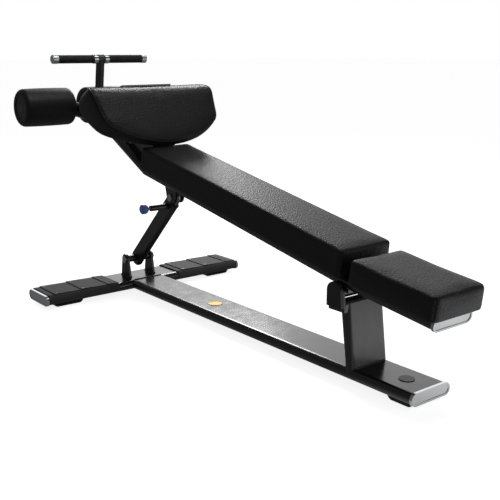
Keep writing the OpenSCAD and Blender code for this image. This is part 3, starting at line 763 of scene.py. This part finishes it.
def evened(mesh, move, passes=14):
    """Shares each point's movement with its neighbours, so the cover stays taut."""
    edges = np.array([tuple(e.vertices) for e in mesh.edges])
    count = np.bincount(edges.ravel(), minlength=len(move)).astype(float)
    for _ in range(passes):
        total = np.zeros_like(move)
        np.add.at(total, edges[:, 0], move[edges[:, 1]])
        np.add.at(total, edges[:, 1], move[edges[:, 0]])
        move = 0.5 * move + 0.5 * total / count[:, None]
    return move


def finished_cover(piece, name, node):
    """Smooths the cover once more and lets it stand for its CAD solid."""
    mesh = with_modifiers(piece.data, "cover", ("SUBSURF", {"levels": 1, "render_levels": 1}))
    bpy.data.objects.remove(piece)
    cover = make_piece(name, mesh, "vinyl", "board")
    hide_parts(node)
    return cover


def press_groove(piece, path):
    """Presses a seam into a cover along a path on its surface."""
    tree = BVHTree.FromPolygons(*segments_as_slivers(path))
    mesh = piece.data
    for vertex, normal in zip(mesh.vertices, [v.normal.copy() for v in mesh.vertices]):
        spot, _, _, distance = tree.find_nearest(vertex.co, SEAM_WIDTH * 2)
        if spot is not None:
            vertex.co -= normal * SEAM_DEPTH * math.exp(-(distance / SEAM_WIDTH) ** 2)
    mesh.update()


def segments_as_slivers(path):
    """A path as thin triangles, so that nearness to it can be looked up."""
    points, faces = [], []
    for a, b in zip(path, path[1:]):
        start = len(points)
        points += [a, b, b + Vector((1e-7, 1e-7, 1e-7))]
        faces.append((start, start + 1, start + 2))
    return points, faces


def surface_tree(piece):
    """A piece's surface, ready for nearest points and rays."""
    mesh = piece.data
    return BVHTree.FromPolygons([v.co for v in mesh.vertices], [tuple(p.vertices) for p in mesh.polygons])


def laid_on(tree, points, toward, lift=0.0):
    """Each point moved along a direction on to the surface, and lifted off it."""
    laid = []
    for point, direction in zip(points, toward):
        hit, normal, _, _ = tree.ray_cast(point, direction)
        if hit is not None:
            laid.append(hit + normal * lift)
    return laid


def corner_seams(piece, matrix, low, high, points=15):
    """Vertical seams on the rounded corners of a back pad, as lists of points on the cover."""
    tree = surface_tree(piece)
    heights = np.linspace(low.z + 0.012, high.z - 0.004, points)
    seams = []
    for x, x_side in ((low.x + SEAM_CORNER, -1), (high.x - SEAM_CORNER, 1)):
        for y_side in (-1, 1):
            centre = Vector((x, y_side * (high.y - SEAM_CORNER), 0))
            out = Vector((x_side, y_side, 0)).normalized()
            starts = [matrix @ (centre + out * 0.08 + Vector((0, 0, z))) for z in heights]
            toward = [-(matrix.to_3x3() @ out)] * points
            seams.append(laid_on(tree, starts, toward))
    return seams


def beside(path, offset, tree):
    """A path moved sideways along the surface that it lies on."""
    moved = []
    for i, point in enumerate(path):
        tangent = (path[min(i + 1, len(path) - 1)] - path[max(i - 1, 0)]).normalized()
        _, normal, _, _ = tree.find_nearest(point)
        spot = point + normal.cross(tangent).normalized() * offset
        hit, surface_normal, _, _ = tree.find_nearest(spot)
        moved.append(hit + surface_normal * STITCH_LIFT)
    return moved


def thigh_outline(matrix, inset, count, softness=0.014):
    """The thigh pad's front outline as evenly spaced (down, across) points, softened and drawn in."""
    back = matrix.inverted()
    flat = [(p.x, p.y) for p in (back @ v.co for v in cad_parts["thigh_cushion"].data.vertices)]
    hull = np.array([flat[i] for i in convex_hull_2d(flat)])
    loop = np.vstack([hull, hull[:1]])
    along = np.concatenate([[0], np.cumsum(np.linalg.norm(np.diff(loop, axis=0), axis=1))])
    finer = 8
    fine = finer * count
    at = np.arange(fine) * along[-1] / fine
    points = np.stack([np.interp(at, along, loop[:, k]) for k in (0, 1)], axis=1)
    reach = max(1, int(softness * fine / along[-1]))
    for _ in range(3):
        points = sum(np.roll(points, k, axis=0) for k in range(-reach, reach + 1)) / (2 * reach + 1)
    tangent = np.roll(points, -1, axis=0) - np.roll(points, 1, axis=0)
    tangent /= np.linalg.norm(tangent, axis=1)[:, None]
    inward = np.stack([-tangent[:, 1], tangent[:, 0]], axis=1)
    inward *= np.sign(np.sum(inward * (points.mean(0) - points), axis=1))[:, None]
    points = points + inward * inset
    return [Vector(p) for p in points[::finer]]


def along_rim(tree, matrix, inset, lift, count=240, start=0.12):
    """A closed row of points on the thigh pad's face, inset from its outline. The rays start in
    front of the face."""
    starts = [matrix @ Vector((p.x, p.y, start)) for p in thigh_outline(matrix, inset, count)]
    inward = -(matrix.to_3x3() @ Vector((0, 0, 1)))
    return laid_on(tree, starts, [inward] * count, lift)


def thigh_frame():
    """Frame of the thigh pad: X down its face, Y across, Z out of the face, origin on the roll's axis."""
    turn = Matrix.Rotation(upholstery().thigh_slope, 4, "Y")
    low, high = in_frame("thigh_cushion", turn)
    return turn @ Matrix.Translation((low.x + ROLL_RADIUS, 0, high.z - ROLL_RADIUS))


def roller_profile(outer, start, end, cap_radius):
    """Half outline of a foam roller as (distance along, radius): rounded ends, a faint crown, and a
    recess in the outer end with a lip round the cap."""
    arc_steps, crown_steps = 10, 14
    first, last = start + FOAM_END, end - FOAM_END
    crown = [(first + (last - first) * t / crown_steps,
              outer - FOAM_CROWN * (2 * t / crown_steps - 1) ** 2) for t in range(crown_steps + 1)]
    arc = [(FOAM_END * math.sin(a), outer - FOAM_CROWN - FOAM_END + FOAM_END * math.cos(a))
           for a in (math.pi / 2 * k / arc_steps for k in range(1, arc_steps + 1))]
    near = [(first - along, radius) for along, radius in reversed(arc)]
    far = [(last + along, radius) for along, radius in arc]
    lip = [(end - 0.0012, cap_radius + 0.0035), (end - 0.0045, cap_radius + 0.0008),
           (end - FOAM_RECESS, cap_radius + 0.0006)]
    return [(start + 0.001, FOAM_BORE)] + near + crown + far + lip + [(end - FOAM_RECESS, FOAM_BORE)]


def lathe_y(profile, centre, turns=72):
    """A closed solid of revolution about an axis along Y."""
    bm = bmesh.new()
    rings = []
    for t in range(turns):
        angle = 2 * math.pi * t / turns
        rings.append([bm.verts.new((centre.x + r * math.cos(angle), y, centre.z + r * math.sin(angle)))
                      for y, r in profile])
    count = len(profile)
    for t in range(turns):
        here, there = rings[t], rings[(t + 1) % turns]
        for k in range(count):
            bm.faces.new((here[k], here[(k + 1) % count], there[(k + 1) % count], there[k]))
    bmesh.ops.recalc_face_normals(bm, faces=bm.faces)
    return to_mesh(bm, "lathe")


# ---------------------------------------------------------------- operators

class BenchOperator:
    bl_options = {"REGISTER", "UNDO"}


class BENCH_OT_frame_finish(BenchOperator, bpy.types.Operator):
    """Gives every frame part that is shown its own finish"""
    bl_idname = "bench.frame_finish"
    bl_label = "Frame finishes"

    def execute(self, context):
        made = materials()
        for finish_name, nodes in NODE_FINISHES.items():
            for node in nodes:
                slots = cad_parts[node].material_slots
                if not slots:
                    raise RuntimeError(f"{node} has no material slot")
                for slot in slots:
                    slot.material = made[finish_name]
        return {"FINISHED"}


class BENCH_OT_pads(BenchOperator, bpy.types.Operator):
    """Covers the long pad, head pad and thigh pad with stretched vinyl"""
    bl_idname = "bench.pads"
    bl_label = "Padded covers"

    def execute(self, context):
        u = upholstery()
        long_frame = turned_frame("long_cushion", u.board_slope)
        head_frame = turned_frame("head_cushion", u.head_slope)
        thigh = thigh_frame()
        back_angle = math.atan2(EDGE_OUT, EDGE_DOWN) + math.asin(
            (ROLL_RADIUS - EDGE_RADIUS) / math.hypot(EDGE_DOWN, EDGE_OUT))
        thigh_back = thigh @ Matrix.Rotation(-back_angle, 4, "Y")
        under = thigh_back.inverted()
        covers = inflate([
            back_pad_blank("long_blank", "long_cushion", long_frame, u.corner),
            back_pad_blank("head_blank", "head_cushion", head_frame, u.head_corner),
            hold(thigh_blank(thigh, back_angle),
                 lambda p: (under @ p).z < -ROLL_RADIUS + THIGH_GLUED and (under @ p).x > 0)])
        paths = []
        for piece, name, node, matrix in (
                (covers[0], "long_pad", "long_cushion", long_frame),
                (covers[1], "head_pad", "head_cushion", head_frame)):
            low, high = in_frame(node, matrix)
            seams = corner_seams(piece, matrix, low, high)
            cover = finished_cover(piece, name, node)
            for seam in seams:
                press_groove(cover, seam)
            tree = surface_tree(cover)
            paths += [beside(seam, side * STITCH_ASIDE, tree) for seam in seams for side in (-1, 1)]
        thigh_pad = finished_cover(covers[2], "thigh_pad", "thigh_cushion")
        tree = surface_tree(thigh_pad)
        piping = tube_along(along_rim(tree, thigh, PIPING_INSET, PIPING_LIFT), u.piping_radius, closed=True)
        make_piece("thigh_piping", piping, "vinyl", "board")
        paths.append(along_rim(tree, thigh, RIM_STITCH_INSET, STITCH_LIFT))
        run_tree("pad_stitches", paths_mesh(paths), bead_row_tree(), "board", "black_vinyl",
                 pitch=u.stitch_pitch, length=u.stitch_pitch * 0.78, width=THREAD_WIDTH, detail=1,
                 finish=materials()["thread"])
        return {"FINISHED"}


class BENCH_OT_rollers(BenchOperator, bpy.types.Operator):
    """Makes the two foam foot rollers round their cores"""
    bl_idname = "bench.rollers"
    bl_label = "Foam rollers"

    def execute(self, context):
        for side, body, name in ((-1, "roller_near", "left"), (1, "roller_far", "right")):
            node = "foam_roller_" + name
            low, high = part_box(node)
            core_low, core_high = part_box("roller_core_" + name)
            start = min(abs(low.y), abs(high.y))
            profile = roller_profile((high.z - low.z) / 2, start, start + high.y - low.y,
                                     (core_high.z - core_low.z) / 2)
            mesh = lathe_y([(side * y, r) for y, r in profile], (low + high) / 2)
            foam = make_piece("roller_foam_" + name, mesh, "foam_skin", body)
            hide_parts(node)
        return {"FINISHED"}


class BENCH_OT_fixings(BenchOperator, bpy.types.Operator):
    """Adds the weld beads and the bolts that hold the pads to the beam"""
    bl_idname = "bench.fixings"
    bl_label = "Welds and bolts"

    def execute(self, context):
        self.weld_beads("base", self.base_welds())
        self.weld_beads("board", [self.arm_weld()])
        slope = upholstery().board_slope
        turn = Matrix.Rotation(slope, 4, "Y")
        low, high = in_frame("long_cushion", turn)
        places = [turn @ Vector((low.x + share * (high.x - low.x), y, low.z - PAD_TO_BOLT))
                  for share in BOLT_SHARES for y in (-BOLT_ASIDE, BOLT_ASIDE)]
        mesh = bpy.data.meshes.new("bolt_points")
        mesh.from_pydata([tuple(p) for p in places], [], [])
        run_tree("pad_bolts", mesh, bolt_set_tree(), "board", "zinc_steel", smooth=False,
                 turn=(math.pi, slope, 0), size=finish().bolt_size, finish=materials()["zinc"])
        return {"FINISHED"}

    @staticmethod
    def weld_beads(body, paths):
        run_tree("weld_beads_" + body, paths_mesh(paths), bead_row_tree(), body, "frame_black",
                 pitch=WELD_PITCH, length=WELD_LENGTH, width=finish().weld_width, detail=2,
                 finish=materials()["powder_coat"])

    @staticmethod
    def base_welds():
        """Weld paths along both sides of each clevis ear's foot, across the front and back of the
        post's foot, and across the crossbar."""
        paths = []
        for ear in ("clevis_ear_left", "clevis_ear_right"):
            low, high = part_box(ear)
            paths += [[Vector((x, y, low.z)) for x in (low.x, high.x)] for y in (low.y, high.y)]
        post_low, post_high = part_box("upright_post")
        rail_low, rail_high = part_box("base_rail")
        cross_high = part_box("base_crossbar")[1]
        post_half = (post_high.y - post_low.y) / 2 - TUBE_ROUNDING
        rail_half = (rail_high.y - rail_low.y) / 2 - TUBE_ROUNDING
        for x, half, z in ((post_high.x, post_half, rail_high.z),
                           (post_high.x - POST_DEPTH, post_half, rail_high.z),
                           (cross_high.x - CROSSBAR_CREST, rail_half, cross_high.z)):
            paths.append([Vector((x, y, z)) for y in (-half, half)])
        return paths

    @staticmethod
    def arm_weld(steps=40):
        """Weld path round the foot arm, where it meets the beam's upper end plate."""
        plate = turned_frame("upper_end_plate", PLATE_SLOPE)
        low, high = in_frame("upper_end_plate", plate)
        half_width, half_height = ARM_WELD
        ring = []
        for t in range(steps + 1):
            angle = 2 * math.pi * t / steps
            z = 0.5 * (low.z + high.z) + half_height * math.sin(angle)
            ring.append(plate @ Vector((low.x, half_width * math.cos(angle), z)))
        return ring


class BENCH_OT_stage(BenchOperator, bpy.types.Operator):
    """Sets up the floor, the lights, the sky and the camera"""
    bl_idname = "bench.stage"
    bl_label = "Stage"

    def execute(self, context):
        scene = context.scene
        stage = scene.bench_stage
        bm = bmesh.new()
        bmesh.ops.create_grid(bm, x_segments=1, y_segments=1, size=60)
        floor = in_scene("floor", to_mesh(bm, "floor"))
        floor.data.materials.append(materials()["floor"])
        self.light("back", place=(-2.35, 1.65, 1.85), target=(0, 0, 0.45), size=0.9, power=30)
        self.light("side", place=(2.9, 1.3, 0.7), target=(0.6, 0, 0.3), size=1.5, power=6)
        self.light("overhead", place=(0.2, 0.4, 3.0), target=(0, 0, 0.3), size=1.6, power=20)
        self.sky(scene, stage)
        camera = in_scene("camera", bpy.data.cameras.new("camera"))
        camera.data.lens = stage.focal
        camera.data.sensor_width = 36
        camera.location = stage.eye
        ahead = Vector((-math.sin(stage.yaw) * math.cos(stage.pitch),
                        math.cos(stage.yaw) * math.cos(stage.pitch), -math.sin(stage.pitch)))
        camera.rotation_euler = ahead.to_track_quat("-Z", "Y").to_euler()
        scene.camera = camera
        scene.view_settings.view_transform = "Standard"
        return {"FINISHED"}

    @staticmethod
    def light(name, place, target, size, power):
        """A square lamp that faces its target."""
        lamp = bpy.data.lights.new(name, "AREA")
        lamp.shape = "SQUARE"
        lamp.size = size
        lamp.energy = power
        holder = in_scene(name, lamp)
        holder.location = place
        holder.rotation_euler = (Vector(target) - Vector(place)).to_track_quat("-Z", "Y").to_euler()

    @staticmethod
    def sky(scene, stage):
        """White where it is seen; for light and reflections, bright ahead of the camera and dim behind and
        overhead.
        """
        world = bpy.data.worlds.new("sky")
        scene.world = world
        world.use_nodes = True
        tree = world.node_tree
        tree.nodes.clear()
        add, link = tree.nodes.new, tree.links.new
        place = add("ShaderNodeTexCoord")
        split = add("ShaderNodeVectorMath")
        split.operation = "DOT_PRODUCT"
        split.inputs[1].default_value = (-math.sin(stage.yaw), math.cos(stage.yaw), 0)
        ramp = add("ShaderNodeMapRange")
        for key, value in (("From Min", 0.7), ("From Max", 0.95), ("To Min", 0.11), ("To Max", stage.sky)):
            ramp.inputs[key].default_value = value
        dim = add("ShaderNodeBackground")
        white = add("ShaderNodeBackground")
        white.inputs["Strength"].default_value = 1.0
        white.inputs["Color"].default_value = (1, 1, 1, 1)
        path = add("ShaderNodeLightPath")
        mix = add("ShaderNodeMixShader")
        out = add("ShaderNodeOutputWorld")
        link(place.outputs["Generated"], split.inputs[0])
        link(split.outputs["Value"], ramp.inputs["Value"])
        link(ramp.outputs["Result"], dim.inputs["Strength"])
        link(path.outputs["Is Camera Ray"], mix.inputs["Fac"])
        link(dim.outputs["Background"], mix.inputs[1])
        link(white.outputs["Background"], mix.inputs[2])
        link(mix.outputs["Shader"], out.inputs["Surface"])


class BENCH_PT_panel(bpy.types.Panel):
    """Lists the bench's pieces in the sidebar"""
    bl_idname = "BENCH_PT_panel"
    bl_label = "Adjustable bench"
    bl_space_type = "VIEW_3D"
    bl_region_type = "UI"
    bl_category = "Bench"

    def draw(self, context):
        for operator in OPERATORS:
            self.layout.operator(operator.bl_idname)
        for name in ("bench_upholstery", "bench_finish", "bench_stage"):
            group = getattr(context.scene, name)
            for prop in group.bl_rna.properties:
                if prop.identifier not in ("rna_type", "name"):
                    self.layout.prop(group, prop.identifier)


OPERATORS = (BENCH_OT_frame_finish, BENCH_OT_pads, BENCH_OT_rollers, BENCH_OT_fixings, BENCH_OT_stage)
GROUPS = {"bench_upholstery": BenchUpholstery, "bench_finish": BenchFrameFinish, "bench_stage": BenchStage}


def register():
    for kind in (*GROUPS.values(), *OPERATORS, BENCH_PT_panel):
        bpy.utils.register_class(kind)
    for name, kind in GROUPS.items():
        setattr(bpy.types.Scene, name, bpy.props.PointerProperty(type=kind))


def unregister():
    for name in GROUPS:
        delattr(bpy.types.Scene, name)
    for kind in (BENCH_PT_panel, *OPERATORS, *GROUPS.values()):
        bpy.utils.unregister_class(kind)


def main():
    register()
    bpy.ops.bench.frame_finish()
    bpy.ops.bench.pads()
    bpy.ops.bench.rollers()
    bpy.ops.bench.fixings()
    bpy.ops.bench.stage()


if __name__ == "__main__":
    main()
